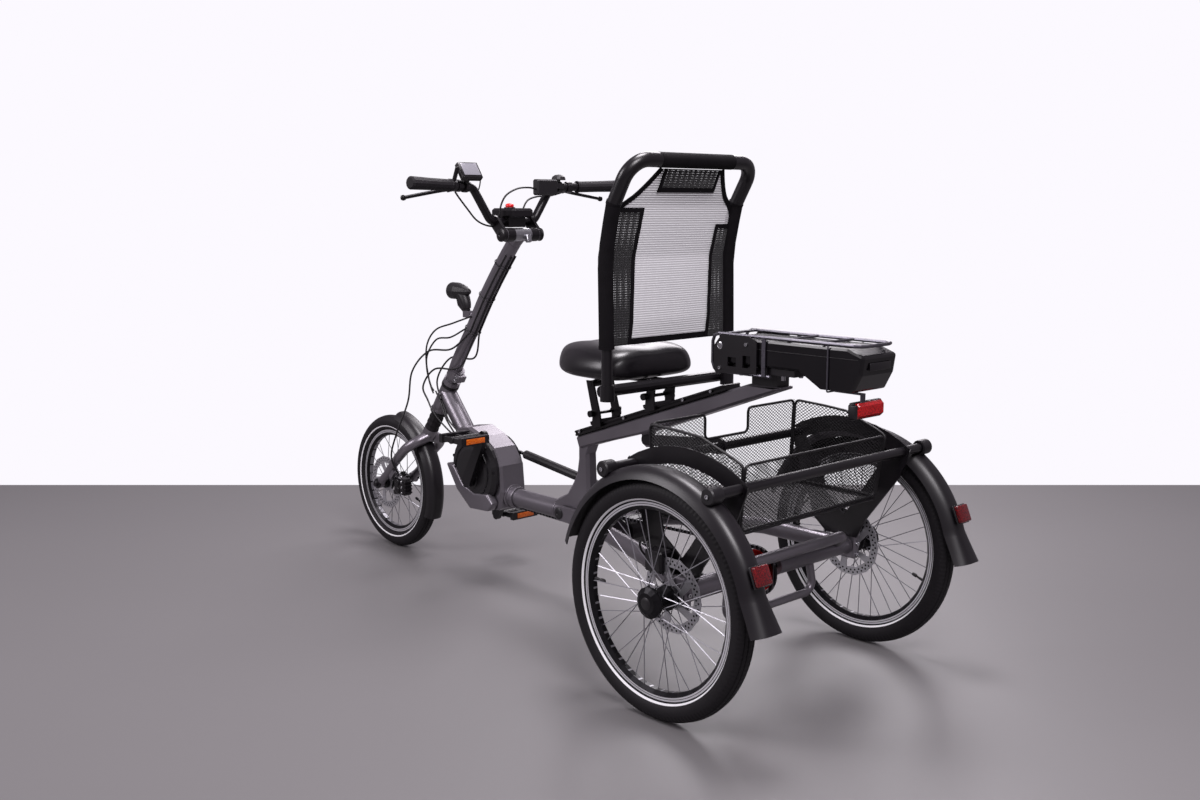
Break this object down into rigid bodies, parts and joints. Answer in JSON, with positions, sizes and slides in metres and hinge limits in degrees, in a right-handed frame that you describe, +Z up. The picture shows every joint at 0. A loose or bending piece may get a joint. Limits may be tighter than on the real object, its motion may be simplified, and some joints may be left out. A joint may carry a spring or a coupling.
{
  "type": "electric tricycle",
  "caption": "Pedal tricycle with a motor at the crank, a sliding mesh-backed seat, a rear basket, a battery on a rear rack and disc brakes on every wheel.",
  "frame": {"origin": "on the ground, in the middle of the tricycle's length and width", "axes": "+X forward, towards the single front wheel; +Y to the rider's left; +Z up"},
  "size_m": [1.9729, 0.7752, 1.1502],
  "materials": {
    "grey_paint": "metallic grey powder coat",
    "grey_alloy": "metallic grey paint on alloy",
    "black_paint": "satin black powder coat",
    "black_alloy": "satin black anodised",
    "black_plastic": "moulded, fine grain",
    "gloss_black_plastic": "smooth moulded",
    "tyre_rubber": "vulcanised",
    "grip_rubber": "soft moulded",
    "steel": "ground",
    "dark_metal": "black anodised",
    "chain_steel": "oiled steel",
    "rack_metal": "dark plated wire",
    "red_anodised": "red anodised",
    "red_lens": "clear moulded lens",
    "red_plastic": "smooth moulded",
    "seat_vinyl": "smooth vinyl skin",
    "back_fabric": "spacer mesh",
    "cable_black": "extruded housing"
  },
  "bodies": {
    "frame": {"frame_main": "grey_paint", "frame_rear": "grey_paint", "motor_unit": "black_plastic", "chain_front": "chain_steel", "chain_rear": "chain_steel", "chain_tube": "black_plastic", "seat_rail": "black_alloy", "battery_holder": "black_paint", "rack": "rack_metal", "tail_light": "red_lens", "fender_left": "black_plastic", "fender_right": "black_plastic", "wheel_bracket_left": "black_paint", "wheel_bracket_right": "black_paint", "front_bar": "black_alloy", "rear_bar": "black_alloy", "basket_front": "black_paint", "basket_rear": "black_paint", "basket_left": "black_paint", "basket_right": "black_paint", "basket_floor": "black_paint"},
    "steering": {"fork": "grey_paint", "fork_boot": "grip_rubber", "front_fender": "black_plastic", "front_caliper": "black_alloy", "steering_post": "grey_alloy", "cable_front_brake": "cable_black", "cable_gear": "cable_black", "cable_rear_brake": "cable_black"},
    "headlamp": {"headlamp": "black_plastic"},
    "front_wheel": {"front_wheel": "dark_metal", "front_tyre": "tyre_rubber", "front_disc": "steel"},
    "rear_wheel_left": {"rear_wheel_left": "dark_metal", "rear_tyre_left": "tyre_rubber", "rear_disc_left": "steel"},
    "rear_wheel_right": {"rear_wheel_right": "dark_metal", "rear_tyre_right": "tyre_rubber", "rear_disc_right": "steel"},
    "crank": {"crank_set": "dark_metal"},
    "pedal_left": {"pedal_left": "black_plastic"},
    "pedal_right": {"pedal_right": "black_plastic"},
    "hub_gear": {"hub_gear": "dark_metal"},
    "differential": {"differential": "red_anodised"},
    "handlebar": {"handlebar": "black_alloy", "grip_left": "grip_rubber", "grip_right": "grip_rubber", "display_unit": "black_plastic", "control_box": "black_plastic"},
    "brake_lever_left": {"brake_lever_left": "black_alloy"},
    "brake_lever_right": {"brake_lever_right": "black_alloy"},
    "shift_paddle": {"shift_paddle": "black_plastic"},
    "stem_button": {"stem_button": "red_plastic"},
    "seat": {"seat_carriage": "black_alloy", "backrest_frame": "black_alloy", "backrest_mesh": "back_fabric", "saddle": "seat_vinyl"},
    "seat_knob_rear": {"seat_knob_rear": "black_plastic"},
    "seat_knob_front": {"seat_knob_front": "black_plastic"},
    "battery": {"battery": "gloss_black_plastic"}
  },
  "joints": [
    {"name": "steering_turn", "type": "hinge", "parent": "frame", "child": "steering", "pos_m": [0.60245, 0, 0.373], "axis": [-0.5754, 0, 0.8179], "range_deg": [-35, 35]},
    {"name": "headlamp_tilt", "type": "hinge", "parent": "steering", "child": "headlamp", "pos_m": [0.40745, 0, 0.738], "axis": [0, 1, 0], "range_deg": [-20, 20]},
    {"name": "front_wheel_spin", "type": "hinge", "parent": "steering", "child": "front_wheel", "pos_m": [0.78395, 0, 0.2025], "axis": [0, 1, 0], "continuous": true},
    {"name": "rear_left_spin", "type": "hinge", "parent": "frame", "child": "rear_wheel_left", "pos_m": [-0.68455, 0.345, 0.2485], "axis": [0, 1, 0], "continuous": true},
    {"name": "rear_right_spin", "type": "hinge", "parent": "frame", "child": "rear_wheel_right", "pos_m": [-0.68455, -0.345, 0.2485], "axis": [0, 1, 0], "continuous": true},
    {"name": "crank_spin", "type": "hinge", "parent": "frame", "child": "crank", "pos_m": [0.31045, 0, 0.29], "axis": [0, 1, 0], "continuous": true},
    {"name": "pedal_left_spin", "type": "hinge", "parent": "crank", "child": "pedal_left", "pos_m": [0.23434, 0.145, 0.42732], "axis": [0, 1, 0], "continuous": true},
    {"name": "pedal_right_spin", "type": "hinge", "parent": "crank", "child": "pedal_right", "pos_m": [0.38657, -0.145, 0.15268], "axis": [0, 1, 0], "continuous": true},
    {"name": "hub_gear_spin", "type": "hinge", "parent": "frame", "child": "hub_gear", "pos_m": [-0.25455, 0, 0.25], "axis": [0, 1, 0], "continuous": true},
    {"name": "differential_spin", "type": "hinge", "parent": "frame", "child": "differential", "pos_m": [-0.68455, 0, 0.2485], "axis": [0, 1, 0], "continuous": true},
    {"name": "handlebar_tilt", "type": "hinge", "parent": "steering", "child": "handlebar", "pos_m": [0.16845, 0, 0.961], "axis": [0, 1, 0], "range_deg": [-30, 20]},
    {"name": "brake_left_pull", "type": "hinge", "parent": "handlebar", "child": "brake_lever_left", "pos_m": [0.21745, 0.19, 1.077], "axis": [0.4418, 0.1402, 0.8861], "range_deg": [0, 12], "stiffness_Nm_per_rad": 0.8, "springref_deg": -11.46},
    {"name": "brake_right_pull", "type": "hinge", "parent": "handlebar", "child": "brake_lever_right", "pos_m": [0.21745, -0.19, 1.077], "axis": [-0.4418, 0.1402, -0.8861], "range_deg": [0, 12], "stiffness_Nm_per_rad": 0.8, "springref_deg": -11.46},
    {"name": "shift_push", "type": "hinge", "parent": "handlebar", "child": "shift_paddle", "pos_m": [0.18595, 0.2015, 1.08598], "axis": [-0.2013, 0.9791, 0.0275], "range_deg": [-15, 15], "stiffness_Nm_per_rad": 0.5},
    {"name": "stem_button_press", "type": "slide", "parent": "handlebar", "child": "stem_button", "axis": [0, 0, -1], "range_m": [0, 0.003], "stiffness_N_per_m": 500, "springref_m": -0.002},
    {"name": "seat_slide", "type": "slide", "parent": "frame", "child": "seat", "axis": [-0.9461, 0, 0.3239], "range_m": [-0.065, 0.12]},
    {"name": "rear_knob_turn", "type": "hinge", "parent": "seat", "child": "seat_knob_rear", "pos_m": [-0.3364, -0.0358, 0.59275], "axis": [0, 1, 0], "continuous": true},
    {"name": "front_knob_turn", "type": "hinge", "parent": "seat", "child": "seat_knob_front", "pos_m": [-0.1514, -0.0358, 0.52941], "axis": [0, 1, 0], "continuous": true},
    {"name": "battery_slide", "type": "slide", "parent": "frame", "child": "battery", "axis": [-1, 0, 0], "range_m": [0, 0.2]}
  ],
  "couplings": [
    {"joint": "hub_gear_spin", "follows": "crank_spin", "ratio": 1.6696},
    {"joint": "differential_spin", "follows": "crank_spin", "ratio": 1.1248}
  ]
}
